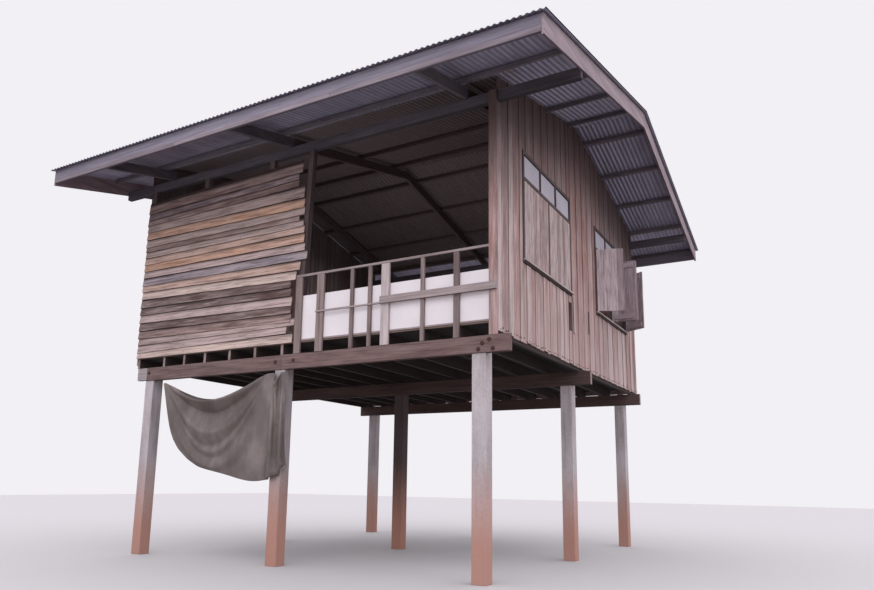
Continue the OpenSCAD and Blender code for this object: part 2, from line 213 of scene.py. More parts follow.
def indoors(tree):
    """1 between the four walls and 0 outside them."""
    masks = []
    for axis, low, high in ((0, WALL_L, WALL_R), (1, WALL_F, WALL_B)):
        off = calc(tree, "ABSOLUTE", calc(tree, "SUBTRACT", placed(tree, axis), (low + high) / 2))
        reach = (high - low) / 2
        masks.append(out(tree, "ShaderNodeMapRange", {0: off, 1: reach - 0.06, 2: reach, 3: 1.0,
                         4: 0.0}))
    return calc(tree, "MULTIPLY", *masks)


def timber(name, palette, axis, worn, dark, streak=0.011, run=0.55, worn_part=0.5,
           crack=0.5, shade_and_grime=0.7, eaves_shade=False, lapped=False, joint_shade=False, stain=0.0,
           sides=None, smoked=0.0):
    """Sawn board that has weathered: each board takes one colour of the palette by its tone,
    streaked along the grain, with grey worn patches and dark checks that open along the grain.
    Faces that look down are darkened with painted shade and dirt. A wall under the roof's
    overhang is paler towards its foot and darker up under the roof, painted shade of the
    overhang. Lapped boards have a painted shadow under the board above, joint-shaded boards
    have painted shade along their joints, and stained ones have long dark patches of rot and
    pale ones. Smoked timber is brown with soot indoors. Sides is the colour of faces that look
    left or right, where it differs: painted shade on the sides of joists, bleached end grain of
    girders."""
    made, tree, shader = new_material(name)

    def noise_along(fine, coarse, detail, rough=0.6):
        return cloud(tree, place_on_piece(tree, along(axis, fine, coarse)), detail, rough)

    step = 1 / len(palette)
    base = ramp(tree, attribute(tree, "tone"), [(i * step, c) for i, c in enumerate(palette)],
                "CONSTANT")
    grain = noise_along(streak, run, 6.0, 0.68)
    blotch = noise_along(0.13, 0.75, 3.0)
    checks = noise_along(streak * 1.7, run * 1.3, 2.0, 0.5)
    colour = painted(tree, base, blotch, [(0.32, 0.0), (0.72, worn_part * 1.6)], worn)
    shade = ramp(tree, grain, [(0.28, 0.52), (0.5, 0.94), (0.72, 1.22)])
    colour = mixed(tree, 0.85, colour, shade, "MULTIPLY")
    colour = painted(tree, colour, checks, [(0.30, crack), (0.37, 0.0)], dark)
    if stain:
        rot = noise_along(streak * 3.0, run * 0.6, 5.0, 0.7)
        colour = painted(tree, colour, rot, [(0.30, stain), (0.54, 0.0)], dark)
        colour = painted(tree, colour, rot, [(0.54, 0.0), (0.70, stain)], worn)
    # Painted shadow on each lapped board, just under the lower edge of the board above.
    if lapped:
        rise = component(tree, attribute(tree, "part", "Vector"), 2)
        colour = painted(tree, colour, rise, [(0.04, 0.0), (0.22, 0.5), (0.27, 0.95)], dark)
    # Painted shade along the joints between the boards, darkest at their edges.
    if joint_shade:
        aside = calc(tree, "ABSOLUTE", component(tree, attribute(tree, "part", "Vector"), 1))
        colour = painted(tree, colour, aside, [(0.36, 0.0), (0.46, 0.25), (0.49, 0.68)], dark)
    # Faces that look left or right take the sides colour: painted shade on the joists, bleached end
    # grain on the inner girders.
    if sides:
        beside = calc(tree, "ABSOLUTE", facing(tree, 0))
        colour = painted(tree, colour, beside, [(0.35, 0.0), (0.6, 0.9)], sides)
    # Painted shade and dirt on faces that look down.
    below = calc(tree, "MULTIPLY", facing(tree, 2), -1.0)
    colour = painted(tree, colour, below, [(0.4, 0.0), (0.65, shade_and_grime)], dark)
    # Paler towards the wall's foot and darker up under the roof: painted shade of the overhang.
    if eaves_shade:
        away = calc(tree, "ABSOLUTE", calc(tree, "SUBTRACT", placed(tree, 1), RIDGE[0]))
        line = calc(tree, "MULTIPLY_ADD", away, ROOF_FALL, placed(tree, 2))
        part = out(tree, "ShaderNodeMapRange", {0: line, 1: WALL_FOOT, 2: RIDGE[1]})
        uneven = calc(tree, "MULTIPLY_ADD", blotch, 0.12, part)
        colour = painted(tree, colour, uneven, [(0.15, 0.34), (0.5, 0.0)], worn)
        colour = painted(tree, colour, uneven, [(0.57, 0.0), (0.92, 0.88)], dark)
    if smoked:
        colour = mixed(tree, calc(tree, "MULTIPLY", indoors(tree), smoked), colour, "4A3733")
    finish(tree, shader, colour, 0.86, calc(tree, "ADD", grain, checks), 0.7, 0.003)
    shader.inputs["Specular IOR Level"].default_value = 0.25
    return made


def concrete():
    """Concrete cast in a board mould: mottled grey, pitted, red mud splashed on its foot. Posts
    of a high tone are darkened to dark brown, partly stains and partly painted shade under
    the house."""
    made, tree, shader = new_material("cast_concrete_mud_stained")
    broad = cloud(tree, place_on_piece(tree, (2.6, 2.6, 1.1)), 4.0)
    fine = cloud(tree, place_on_piece(tree, (45, 45, 30)), 4.0)
    drips = cloud(tree, place_on_piece(tree, (22, 22, 0.9)), 3.0)
    colour = ramp(tree, broad, [(0.3, "A39C9F"), (0.5, "B8B1B5"), (0.72, "C9C3C8")])
    colour = painted(tree, colour, drips, [(0.34, 0.4), (0.48, 0.0)], "857B7D")
    colour = mixed(tree, 0.7, colour, ramp(tree, fine, [(0.3, 0.8), (0.7, 1.1)]), "MULTIPLY")
    # High tones darken a post to dark brown: stains and painted shade under the house.
    colour = painted(tree, colour, attribute(tree, "tone"), [(0.7, 0.0), (0.95, 0.9)], "43332F")
    wavy = calc(tree, "MULTIPLY_ADD", drips, -0.9, placed(tree, 2))
    colour = painted(tree, colour, wavy, [(0.0, 0.85), (0.4, 0.6), (1.0, 0.0)], "B58372")
    finish(tree, shader, colour, 0.9, fine, 0.6, 0.003)
    return made


def zinc_sheet():
    """Corrugated steel with a zinc coat gone dull: blue grey, streaked down the slope, no two
    sheets alike, with dirt in the valleys, rust where the coat has worn off and smoke from
    below indoors."""
    made, tree, shader = new_material("corrugated_zinc_steel")
    streaks = cloud(tree, place_on_piece(tree, (9, 1.2, 1.2)), 5.0)
    spots = cloud(tree, place_on_piece(tree, (3.2, 2.0, 2.0)), 6.0, 0.7)
    fine = cloud(tree, place_on_piece(tree, (60, 60, 60)), 3.0)
    colour = ramp(tree, streaks, [(0.3, "86849A"), (0.55, "9896AC"), (0.75, "A6A4BA")])
    sheet = ramp(tree, attribute(tree, "tone"), [(0.0, 0.82), (1.0, 1.05)])
    colour = mixed(tree, 1.0, colour, sheet, "MULTIPLY")
    valley = calc(tree, "MULTIPLY_ADD", attribute(tree, "wave"), 0.5, 0.5)
    colour = painted(tree, colour, valley, [(0.05, 0.5), (0.5, 0.0)], "4B4750")
    colour = painted(tree, colour, spots, [(0.60, 0.0), (0.72, 0.6)], "6E4A3C")
    below = ramp(tree, facing(tree, 2), [(0.0, 0.85), (0.05, 0.0)])
    colour = mixed(tree, calc(tree, "MULTIPLY", below, indoors(tree)), colour, "54403B")
    tree.links.new(colour, shader.inputs["Base Color"])
    tree.links.new(ramp(tree, fine, [(0.3, 0.5), (0.7, 0.68)]), shader.inputs["Roughness"])
    tree.links.new(ramp(tree, spots, [(0.55, 0.3), (0.66, 0.05)]), shader.inputs["Metallic"])
    return made


def plain(name, colour, other, size, rough, metal=0.0, depth=0.0):
    """A finish of two close colours in soft patches of that size, with a slight relief."""
    made, tree, shader = new_material(name)
    spread = cloud(tree, place_on_piece(tree, (1 / size,) * 3), 5.0)
    finish(tree, shader, ramp(tree, spread, [(0.32, colour), (0.68, other)]), rough,
           spread if depth else None, 0.5, depth)
    shader.inputs["Metallic"].default_value = metal
    return made


def woven_sheet():
    """Woven plastic ground sheet, faded grey brown: a fine weave drawn coarse enough to show,
    with dust in paler patches."""
    made, tree, shader = new_material("woven_sheet_faded")
    uv = out(tree, "ShaderNodeUVMap", uv_map="cloth")
    dust = cloud(tree, vectors(tree, "MULTIPLY", object_place(tree), (3.0, 3.0, 1.6)), 5.0)
    threads = [add(tree, "ShaderNodeTexWave", {"Vector": uv, "Scale": 60.0, "Distortion": 0.4},
               bands_direction=way).outputs["Fac"] for way in "XY"]
    colour = ramp(tree, dust, [(0.3, "544B49"), (0.52, "6A605E"), (0.72, "857A79")])
    finish(tree, shader, colour, 0.62, calc(tree, "ADD", *threads), 0.25, 0.002)
    return made


CONCRETE = concrete()
ZINC = zinc_sheet()
# Front planks: grey tan, tan, orange tan, dark rotted, cream, brown, pinkish, blue grey and
# purple grey.
PLANK_COLOURS = ["AC9994", "BFA193", "C89E85", "5A4642", "CFBAB1", "846C67", "B9A4A2",
                 "978E97", "6E5E64"]
# The front planks carry a painted shadow under each lap.
PLANK_WOOD = timber("lapped_teak_weathered", PLANK_COLOURS, "X", "B8A7A6", "2E2224",
                    streak=0.014, run=0.9, worn_part=0.3, lapped=True, stain=0.6)
# Wall boards: red brown, dark brown, pale pink, brown, dark red brown and bleached.
WALL_COLOURS = ["AB847B", "937670", "C6B2B1", "B49B98", "9C7169", "CFBFBE"]
# The wall boards carry painted shade under the roof's overhang and along their joints.
WALL_WOOD = timber("upright_boards_weathered", WALL_COLOURS, "Z", "C4B1B1", "493B3C",
                   streak=0.015, run=0.9, eaves_shade=True, joint_shade=True, stain=0.6)
OPEN_SHUTTER_WOOD = timber("shutter_boards_purple_grey", ["AB989F", "B6A3A9", "9C8A91", "D0C2C7"],
                           "Z", "B9AAB0", "55484C", streak=0.013, run=0.5, stain=0.5)
SHUTTER_WOOD = timber("shutter_boards", ["A48C89", "B19B98", "8F7A78", "C0B0AF"], "Z",
                      "B7A8A8", "54423F", streak=0.013, run=0.45, stain=0.65)
GIRDER_WOOD = timber("girder_hardwood", ["6B5554", "735C5B", "634E4D"], "X", "82706E",
                     "33262A", streak=0.018, run=0.9, stain=0.5)
# Middle and back girders under the floor: a dark palette and darkened undersides, painted shade under
# the house.
INNER_GIRDER_WOOD = timber("girder_smoked", ["4C3D3D", "564545"], "X", "66544F", "221A1B",
                           streak=0.018, run=0.9, shade_and_grime=0.9, sides="9C8885")
BLOCK_WOOD = timber("girder_block_bleached", ["9C9396", "A79EA0"], "X", "B9B1B5", "5E5354")
# Joists: painted shade on their undersides and on the sides that look left or right; their front ends
# keep the paler palette.
JOIST_WOOD = timber("joist_hardwood", ["8A7874", "96857F", "796863", "A0908B"], "Y", "A59894",
                    "1D1516", streak=0.016, run=0.8, crack=0.2, shade_and_grime=0.9, sides="241B1C")
# Floor boards seen from below: a dark palette, darker still where they look down, as painted shade
# under the house.
FLOOR_WOOD = timber("floor_boards", ["5E4C46", "6A5750", "54433E", "735F57"], "X",
                    "80716B", "120C0C", shade_and_grime=0.97)
FRAME_WOOD = timber("frame_timber_dark", ["4A3D3E", "564748", "423637"], "Z", "665A5C",
                    "211A1B")
PLATE_WOOD = timber("plate_timber_dark", ["4B454D", "544E56"], "X", "625C64", "211D21")
BEAM_WOOD = timber("roof_timber_grey", ["645E67", "6F6972", "5A545C"], "X", "7E7880",
                   "332E35", shade_and_grime=0.1, smoked=0.8)
RAFTER_WOOD = timber("rafter_timber_grey", ["534E56", "5C565E", "4A454C"], "Y", "6A646B",
                     "2B272C", shade_and_grime=0.1, smoked=0.8)
RAIL_WOOD = timber("rail_timber_grey", ["7D6D6B", "8A7A78", "716160", "C2B6B8"], "Z",
                   "9C8F90", "3E3234", streak=0.012, worn_part=0.3)
RAIL_LEVEL_WOOD = timber("level_rail_timber_grey", ["8B7D7C", "978A8B", "7F7170"], "X",
                         "A89C9E", "3E3234", streak=0.012)
FASCIA_WOOD = timber("fascia_boards_grey", ["74707E", "7D7886"], "X", "8C8796", "4D4650",
                     streak=0.02, run=1.2, crack=0.25, stain=0.3)
STRIP_WOOD = timber("fascia_strip_paler", ["797079", "837982"], "X", "938992", "50464C",
                    streak=0.02, run=1.2, crack=0.25, stain=0.3)
BARGE_WOOD = timber("barge_boards_grey", ["8F8087", "978990"], "Y", "A89AA1", "574A4F",
                    streak=0.02, run=1.2, crack=0.25, stain=0.35, shade_and_grime=0.8)
FRAME_LEVEL_WOOD = timber("level_frame_timber", ["4A3D3E", "564748", "C2B4B2"], "Y", "8C7E7E",
                          "211A1B", worn_part=0.2)
LEDGE_WOOD = timber("shutter_ledges", ["A6969D", "B2A2A8"], "X", "C1B3B9", "5C4F53")
PANEL_BOARD = plain("white_fibre_board", "D6D0D6", "E0DBE0", 0.5, 0.6, depth=0.001)
PANE = plain("frosted_window_glass", "A9A5B2", "B5B2BE", 0.4, 0.45)
IRON = plain("rusted_iron", "3A2F2D", "5A4038", 0.01, 0.7, metal=0.6)
WOVEN_SHEET = woven_sheet()


# Pieces
FREE = (-math.inf, math.inf)


def keep(piece, slot, *nodes):
    """Ties a finished piece to the house and hides the nodes that it stands for. The slot is not
    used.
    """
    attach(piece, "root")
    if nodes:
        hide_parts(*nodes)


def piece_from(name, mesh, material=None):
    made = bpy.data.objects.new(name, mesh)
    bpy.context.scene.collection.objects.link(made)
    if material:
        mesh.materials.append(material)
    return made


def bevel(piece, width, segments, angle):
    ease = piece.modifiers.new("ease", "BEVEL")
    ease.width, ease.segments, ease.limit_method = width, segments, "ANGLE"
    ease.angle_limit = math.radians(angle)


def thicken(piece, thickness, offset):
    skin = piece.modifiers.new("skin", "SOLIDIFY")
    skin.thickness, skin.offset = thickness, offset


def settle(piece):
    """Applies a piece's modifiers by swapping in its evaluated mesh."""
    graph = bpy.context.evaluated_depsgraph_get()
    mesh = bpy.data.meshes.new_from_object(piece.evaluated_get(graph), depsgraph=graph)
    old = piece.data
    piece.modifiers.clear()
    piece.data = mesh
    bpy.data.meshes.remove(old)
    mesh.name = piece.name
    return piece


def hold(piece, *limits):
    """Brings a piece's vertices within (low, high) limits along X, Y and Z."""
    for vert in piece.data.vertices:
        vert.co = [min(max(at, low), high) for at, (low, high) in zip(vert.co, limits)]


def start_tree(name, sockets):
    """A Geometry Nodes tree with geometry in and out, the named inputs and a material."""
    tree = bpy.data.node_groups.new(name, "GeometryNodeTree")
    for way in ("INPUT", "OUTPUT"):
        tree.interface.new_socket("Geometry", in_out=way, socket_type="NodeSocketGeometry")
    for label, kind, value in sockets:
        made = tree.interface.new_socket(label, in_out="INPUT", socket_type="NodeSocket" + kind)
        made.default_value = value
    tree.interface.new_socket("Material", in_out="INPUT", socket_type="NodeSocketMaterial")
    return tree, tree.nodes.new("NodeGroupInput").outputs


def end_tree(tree, given, instance, turn, scale=(1, 1, 1), bend=None):
    """Puts the instance on each point as real geometry, moves its vertices by bend, sets the
    material and passes the geometry out."""
    points = out(tree, "GeometryNodeMeshToPoints", {"Mesh": given["Geometry"]})
    laid = out(tree, "GeometryNodeInstanceOnPoints", {
        "Points": points, "Instance": instance, "Rotation": turn, "Scale": scale})
    real = out(tree, "GeometryNodeRealizeInstances", {0: laid})
    if bend:
        real = out(tree, "GeometryNodeSetPosition", {"Geometry": real, "Offset": bend})
    done = out(tree, "GeometryNodeSetMaterial", {"Geometry": real, "Material": given["Material"]})
    add(tree, "NodeGroupOutput", {0: done})
    return tree


def field(tree, name, kind="FLOAT_VECTOR"):
    """A named attribute of the points."""
    return out(tree, "GeometryNodeInputNamedAttribute", {"Name": name}, data_type=kind)


def marked(tree, geometry, name, value, kind="FLOAT_VECTOR"):
    """The geometry with the value stored on its vertices."""
    return out(tree, "GeometryNodeStoreNamedAttribute", {"Geometry": geometry, "Name": name,
               "Value": value}, data_type=kind, domain="POINT")


def position(tree):
    return out(tree, "GeometryNodeInputPosition")


def leant(tree):
    return out(tree, "FunctionNodeEulerToRotation", {0: field(tree, "lean")})


def boards_tree():
    """One board on each point: sized, leant and toned by the point, then warped a little."""
    tree, given = start_tree("boards_on_points", [
        ("Cuts X", "Int", 2), ("Cuts Y", "Int", 2), ("Cuts Z", "Int", 2),
        ("Warp", "Float", 0.004), ("Warp Length", "Float", 0.9)])
    counts = {"Vertices " + axis: given["Cuts " + axis] for axis in "XYZ"}
    cube = add(tree, "GeometryNodeMeshCube", {"Size": (1, 1, 1), **counts}).outputs["Mesh"]
    far = vectors(tree, "SCALE", (57.0, 31.0, 83.0), field(tree, "tone", "FLOAT"))
    wobble = add(tree, "ShaderNodeTexNoise", {
        "Vector": vectors(tree, "ADD", position(tree), far),
        "Scale": calc(tree, "DIVIDE", 1.0, given["Warp Length"]), "Detail": 1.0})
    centred = vectors(tree, "SUBTRACT", wobble.outputs["Color"], (0.5, 0.5, 0.5))
    return end_tree(tree, given, marked(tree, cube, "part", position(tree)), leant(tree),
                    field(tree, "size"), vectors(tree, "SCALE", centred, given["Warp"]))


def heads_tree():
    """A small head with eight sides on each point, its axis along the point's aim."""
    tree, given = start_tree("fastener_heads", [
        ("Radius", "Float", 0.012), ("Height", "Float", 0.01)])
    body = add(tree, "GeometryNodeMeshCylinder", {"Vertices": 8, "Radius": given["Radius"],
               "Depth": given["Height"]}).outputs["Mesh"]
    turn = out(tree, "FunctionNodeAlignRotationToVector", {"Vector": field(tree, "aim")}, axis="Z")
    return end_tree(tree, given, body, turn)


def sheets_tree():
    """A corrugated sheet on each point: a flat grid bent into waves, laid on the slope."""
    tree, given = start_tree("corrugated_sheets", [
        ("Width", "Float", 0.8), ("Length", "Float", 2.6), ("Columns", "Int", 89),
        ("Pitch", "Float", WAVE), ("Depth", "Float", 0.018)])
    flat = add(tree, "GeometryNodeMeshGrid", {"Size X": given["Width"], "Size Y": given["Length"],
               "Vertices X": given["Columns"], "Vertices Y": 4}).outputs["Mesh"]
    turns = calc(tree, "DIVIDE", component(tree, position(tree), 0), given["Pitch"])
    wave = calc(tree, "SINE", calc(tree, "MULTIPLY", turns, math.tau))
    lift = calc(tree, "MULTIPLY", wave, calc(tree, "MULTIPLY", given["Depth"], 0.5))
    waved = out(tree, "GeometryNodeSetPosition", {
        "Geometry": marked(tree, flat, "wave", wave, "FLOAT"),
        "Offset": out(tree, "ShaderNodeCombineXYZ", {2: lift})})
    return end_tree(tree, given, waved, leant(tree))


BOARDS = boards_tree()
HEADS = heads_tree()
SHEETS = sheets_tree()


def points_piece(name, rows, fields):
    """A mesh of loose points. Each row is a position and then one value for each field."""
    mesh = bpy.data.meshes.new(name)
    mesh.from_pydata([row[0] for row in rows], [], [])
    for i, label in enumerate(fields):
        kind, slot = ("FLOAT", "value") if label == "tone" else ("FLOAT_VECTOR", "vector")
        for spot, row in zip(mesh.attributes.new(label, kind, "POINT").data, rows):
            setattr(spot, slot, row[i + 1])
    return piece_from(name, mesh)


def grow(piece, tree, edge=0.0, skin=0.0, **inputs):
    """Runs a tree on a piece's points, eases the edges or thickens the sheet, and keeps the
    plain mesh."""
    live = piece.modifiers.new("nodes", "NODES")
    live.node_group = tree
    ids = {item.name: item.identifier for item in tree.interface.items_tree
           if item.in_out == "INPUT"}
    for name, value in inputs.items():
        live[ids[name.replace("_", " ")]] = value
    if skin:
        thicken(piece, skin, -1.0)
    if edge:
        bevel(piece, edge, 1, 40)
    return settle(piece)


def board(x, y, z, tone, lean=(0, 0, 0)):
    """The row of a board, from its ends along X, Y and Z: centre, size, lean and tone."""
    ends = (x, y, z)
    return [(a + b) / 2 for a, b in ends], [b - a for a, b in ends], lean, tone


def boards(name, rows, material, axis="Z", cuts=2, warp=0.004, length=0.9, edge=0.003):
    """Boards of one material; cuts are the vertices along the boards' own axis."""
    piece = points_piece(name, rows, ("size", "lean", "tone"))
    return grow(piece, BOARDS, edge, Material=material, Warp=warp, Warp_Length=length,
                **{"Cuts_" + axis: cuts})


def loose_solids(shape):
    """The vertices of each loose solid, the solids in the order of their centres."""
    left, solids = dict.fromkeys(shape.verts), []
    while left:
        group = [left.popitem()[0]]
        for vert in group:
            for link in vert.link_edges:
                other = link.other_vert(vert)
                if other in left:
                    del left[other]
                    group.append(other)
        solids.append(group)
    return sorted(solids, key=lambda group: [
        round(sum(vert.co[i] for vert in group) / len(group), 3) for i in range(3)])


def eased(node, material, slot, edge=0.004, tones=None, cuts=0, warp=0.0):
    """A CAD node's own shape with its arrises eased and each solid given a tone. Solids that
    are cut along their length are also warped a little."""
    rng = random.Random(node)
    shape = bmesh.new()
    shape.from_mesh(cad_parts[node].data)
    bmesh.ops.remove_doubles(shape, verts=shape.verts, dist=1e-5)
    bmesh.ops.dissolve_limit(shape, angle_limit=math.radians(1), verts=shape.verts,
                             edges=shape.edges)
    layer = shape.verts.layers.float.new("tone")
    for i, group in enumerate(loose_solids(shape)):
        value = tones[i % len(tones)] if tones else rng.random()
        for vert in group:
            vert[layer] = value
    for axis in range(3 if cuts else 0):
        spans = [e for e in shape.edges if abs(e.verts[0].co[axis] - e.verts[1].co[axis]) > 1.2]
        if spans:
            bmesh.ops.subdivide_edges(shape, edges=spans, cuts=cuts, use_grid_fill=True)
    mesh = bpy.data.meshes.new(node)
    shape.to_mesh(mesh)
    shape.free()
    if warp:
        for vert, tone in zip(mesh.vertices, mesh.attributes["tone"].data):
            bend = noise.noise_vector(vert.co * 1.1 + Vector((tone.value * 50,) * 3))
            vert.co += bend * warp
    piece = piece_from(node + "_worn", mesh, material)
    bevel(piece, edge, 2, 35)
    keep(settle(piece), slot, node)


def split_row(start, end, mean, rng, breaks=()):
    """Edges of boards of uneven width between two places, with an edge at each break."""
    stops = sorted([start, end] + [b for b in breaks if start < b < end])
    edges = [start]
    for low, high in zip(stops, stops[1:]):
        count = max(1, round((high - low) / mean))
        shares = [rng.uniform(0.72, 1.28) for _ in range(count)]
        total, run = sum(shares), low
        for share in shares:
            run += share / total * (high - low)
            edges.append(run)
    return edges


def gable_tops(a, b):
    """Pieces of a gable board between a and b as (from, to, depth under the roof). A board that
    a purlin crosses is notched round it: it ends under the purlin and has ears beside it."""
    under = SHEET_DEPTH + 0.0005
    for y in PURLINS:
        if a < y + PURLIN_W and b > y:
            ears = [(a, y - 0.001, under), (y + PURLIN_W + 0.001, b, under)]
            return [(a, b, PURLIN_DEPTH)] + [ear for ear in ears if ear[1] - ear[0] > 0.012]
    return [(a, b, under)]


def upright_wall(name, side, windows, node, seed, first=(), slots=(), ruddy=(0.0, 0.0)):
    """Boards of a gable wall: side is +1 right or -1 left. They are laid in turn proud and set
    back with their edges lapped, so that no light comes through, cut round the windows, and
    broken through at the slots. First gives the ends and tones of the boards next to the front
    corner, and ruddy a stretch of redder boards."""
    rng = random.Random(seed)
    face = WALL_R if side > 0 else WALL_L
    front, mean_width, deepest = WALL_F + 0.0325, 0.152, 0.04
    breaks = [y + s for y in windows for s in (-FRAME_W, WIN_W + FRAME_W)]
    breaks += [y for a, b, _, _ in slots for y in (a, b)]
    given = [front] + [end for end, _ in first]
    edges = given[:-1] + split_row(given[-1], WALL_B, mean_width, rng, breaks)
    tones = [tone for _, tone in first]
    low, high = SILL_Z - FRAME_W, WIN_TOP + FRAME_W
    rows, tops = [], []
    for i, (a, b) in enumerate(zip(edges, edges[1:])):
        mid, left, right = (a + b) / 2, a - BOARD_LAP / 2, b + BOARD_LAP / 2
        foot = WALL_FOOT + rng.uniform(0.0, 0.022)
        top = max(roof_z(a), roof_z(b)) + 0.02
        tone = tones[i] if i < len(tones) else rng.random()
        if ruddy[0] < mid < ruddy[1]:
            tone = rng.choice((0.05, 0.12, 0.72, 0.78))
        spans = [(foot, top)]
        if any(y - FRAME_W < mid < y + WIN_W + FRAME_W for y in windows):
            spans = [(foot, low), (high, top)]
        for y0, y1, z0, z1 in slots:
            if y0 - 0.001 < mid < y1 + 0.001:
                spans = [(foot, z0), (z1, spans[0][1])] + spans[1:]
        proud = rng.uniform(-0.002, 0.0) - (BOARD_STEP if i % 2 else 0.0)
        turn = (rng.uniform(-0.0012, 0.0012), rng.uniform(-0.001, 0.001), rng.uniform(-0.02, 0.02))
        outer = face + side * proud
        for z0, z1 in spans:
            ends = gable_tops(left, right) if z1 == top else [(left, right, 0.0)]
            for c, d, depth in ends:
                # An ear is narrower than its board and starts below the purlin's underside.
                ear = d - c < right - left - 0.001
                start = roof_z(mid, PURLIN_DEPTH) - 0.03 if ear else z0
                deep = sorted((outer, outer - side * BOARD_THICK))
                rows.append(board(deep, (c, d), (start, z1), tone, turn))
                tops.append(depth)
    piece = boards(name, rows, WALL_WOOD, cuts=12)
    each = len(piece.data.vertices) // len(rows)
    for i, vert in enumerate(piece.data.vertices):
        depth = tops[min(i // each, len(rows) - 1)]
        vert.co.z = min(vert.co.z, roof_z(vert.co.y, depth) - 0.001)
    hold(piece, sorted((face, face - side * deepest)), (front, WALL_B), FREE)
    keep(piece, "wall_timber", node)


# Posts and floor
# Tones of the posts in each row from left to right. The high tone of the middle row's centre post
# darkens it to dark brown: stains and painted shade under the house.
for row, tones in (("front", [.3, .77, .1]), ("middle", [.4, .95, .3]), ("back", [.5, .78, .6])):
    eased("posts_" + row, CONCRETE, "concrete", 0.006, tones)
for side in ("left", "right"):
    eased("girder_front_" + side, GIRDER_WOOD, "girder_timber", 0.005, cuts=8, warp=0.003)
for row in ("middle", "back"):
    eased("girder_" + row, INNER_GIRDER_WOOD, "girder_timber", 0.005)
eased("girder_end_block", BLOCK_WOOD, "bleached_timber", 0.006)
eased("floor_joists", JOIST_WOOD, "floor_timber")


def floor_boards():
    rng = random.Random(11)
    low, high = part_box("floor_deck")
    edges = split_row(low[1], high[1], 0.15, rng)
    rows = []
    for i, (a, b) in enumerate(zip(edges, edges[1:])):
        joint = low[0] + (high[0] - low[0]) * (0.36 if i % 2 else 0.62)
        for x in ((low[0], joint - 0.001), (joint + 0.001, high[0])):
            rows.append(board(x, (a + 0.002, b - 0.002), (low[2], high[2]), rng.random()))
    keep(boards("floor_boards_laid", rows, FLOOR_WOOD, "X", warp=0.0, edge=0.002),
         "floor_timber", "floor_deck")


floor_boards()

# Walls
# Next to the front corner a bleached strip, a dark board, a bleached one and a brown one.
CORNER_BOARDS = [(SHIFT.y - 3.237, 0.92), (SHIFT.y - 3.000, 0.25), (SHIFT.y - 2.851, 0.92),
                 (SHIFT.y - 2.620, 0.1), (SHIFT.y - 2.525, 0.55)]
# Where boards have split away, a long slot and a short one.
SLOTS = [(SHIFT.y - 0.620, SHIFT.y - 0.455, 3.56, 4.02),
         (SHIFT.y + 0.375, SHIFT.y + 0.455, 3.68, 4.08)]
upright_wall("right_wall_boards", 1, WIN_Y, "wall_right", 5, CORNER_BOARDS, SLOTS,
             (WIN_Y[0] + WIN_W, WIN_Y[1] - 0.3))
upright_wall("left_wall_boards", -1, (), "wall_left", 6)


def back_wall():
    rng = random.Random(8)
    low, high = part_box("wall_back")
    rows = []
    edges = split_row(low[0], high[0], 0.135, rng)
    for i, (a, b) in enumerate(zip(edges, edges[1:])):
        foot = low[2] + rng.uniform(0.0, 0.02)
        y = WALL_B - BOARD_THICK / 2 - (BOARD_STEP if i % 2 else 0.0)
        rows.append((((a + b) / 2, y, (foot + high[2]) / 2),
                     (BOARD_THICK, b - a + BOARD_LAP, high[2] - foot),
                     (0, rng.uniform(-0.001, 0.001), math.pi / 2), rng.random()))
    piece = boards("back_wall_boards", rows, WALL_WOOD, cuts=12)
    hold(piece, (low[0], high[0]), (-math.inf, WALL_B), (-math.inf, high[2]))
    keep(piece, "wall_timber", "wall_back")


back_wall()

# The lapped planks are sawn by hand, so no two are alike. Heights in metres of their edges at
# the left and right ends, their right ends and their colours, from the top row down.
PLANK_LEFT = [5.81, 5.70, 5.585, 5.475, 5.36, 5.23, 5.09, 5.01, 4.90, 4.77, 4.66, 4.54, 4.40,
              4.295, 4.165, 4.015, 3.89, 3.755, 3.62, 3.485, 3.37, 3.235, 3.145]
PLANK_RIGHT = [5.98, 5.775, 5.66, 5.555, 5.36, 5.195, 5.08, 5.00, 4.895, 4.80, 4.645, 4.52,
               4.38, 4.23, 4.085, 3.975, 3.85, 3.70, 3.585, 3.455, 3.395, 3.29, 3.145]
PLANK_ENDS = [.052, -.017, -.01, .104, .115, .123, .024, .107, .132, .14, .156, .207, .088,
              .021, -.075, -.067, -.037, -.049, -.041, .029, -.117, -.001]
PLANK_KINDS = [5, 8, 5, 0, 2, 0, 5, 0, 1, 2, 6, 7, 1, 4, 3, 3, 6, 3, 5, 0, 6, 4]


def lapped_wall():
    """Planks whose lower edges stand proud of the next one down, over the front left bay."""
    rng = random.Random(21)
    low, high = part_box("lapped_planks")
    lap, thick, tilt, middle = 0.030, 0.013, -0.125, WALL_F + 0.0175
    y = (middle - thick / 2, middle + thick / 2)
    rows = []
    for i, (end, kind) in enumerate(zip(PLANK_ENDS, PLANK_KINDS)):
        x0, x1 = low[0] + rng.uniform(0, 0.012), end + SHIFT.x
        left, right = PLANK_LEFT[i + 1], PLANK_RIGHT[i + 1]
        foot = (left + right) / 2
        deep = max(PLANK_LEFT[i] - left, PLANK_RIGHT[i] - right) + (lap if i else 0)
        tone = (kind + rng.uniform(0.05, 0.95)) / len(PLANK_COLOURS)
        rows.append(board((x0, x1), y, (foot, foot + deep), tone,
                          (tilt, math.atan2(left - right, x1 - x0), 0)))
    piece = boards("front_lapped_planks", rows, PLANK_WOOD, "X", cuts=34, warp=0.013,
                   length=0.45, edge=0.002)
    hold(piece, (low[0], math.inf), (WALL_F, WALL_F + 0.0345), (low[2], math.inf))
    keep(piece, "lapped_timber", "lapped_planks")


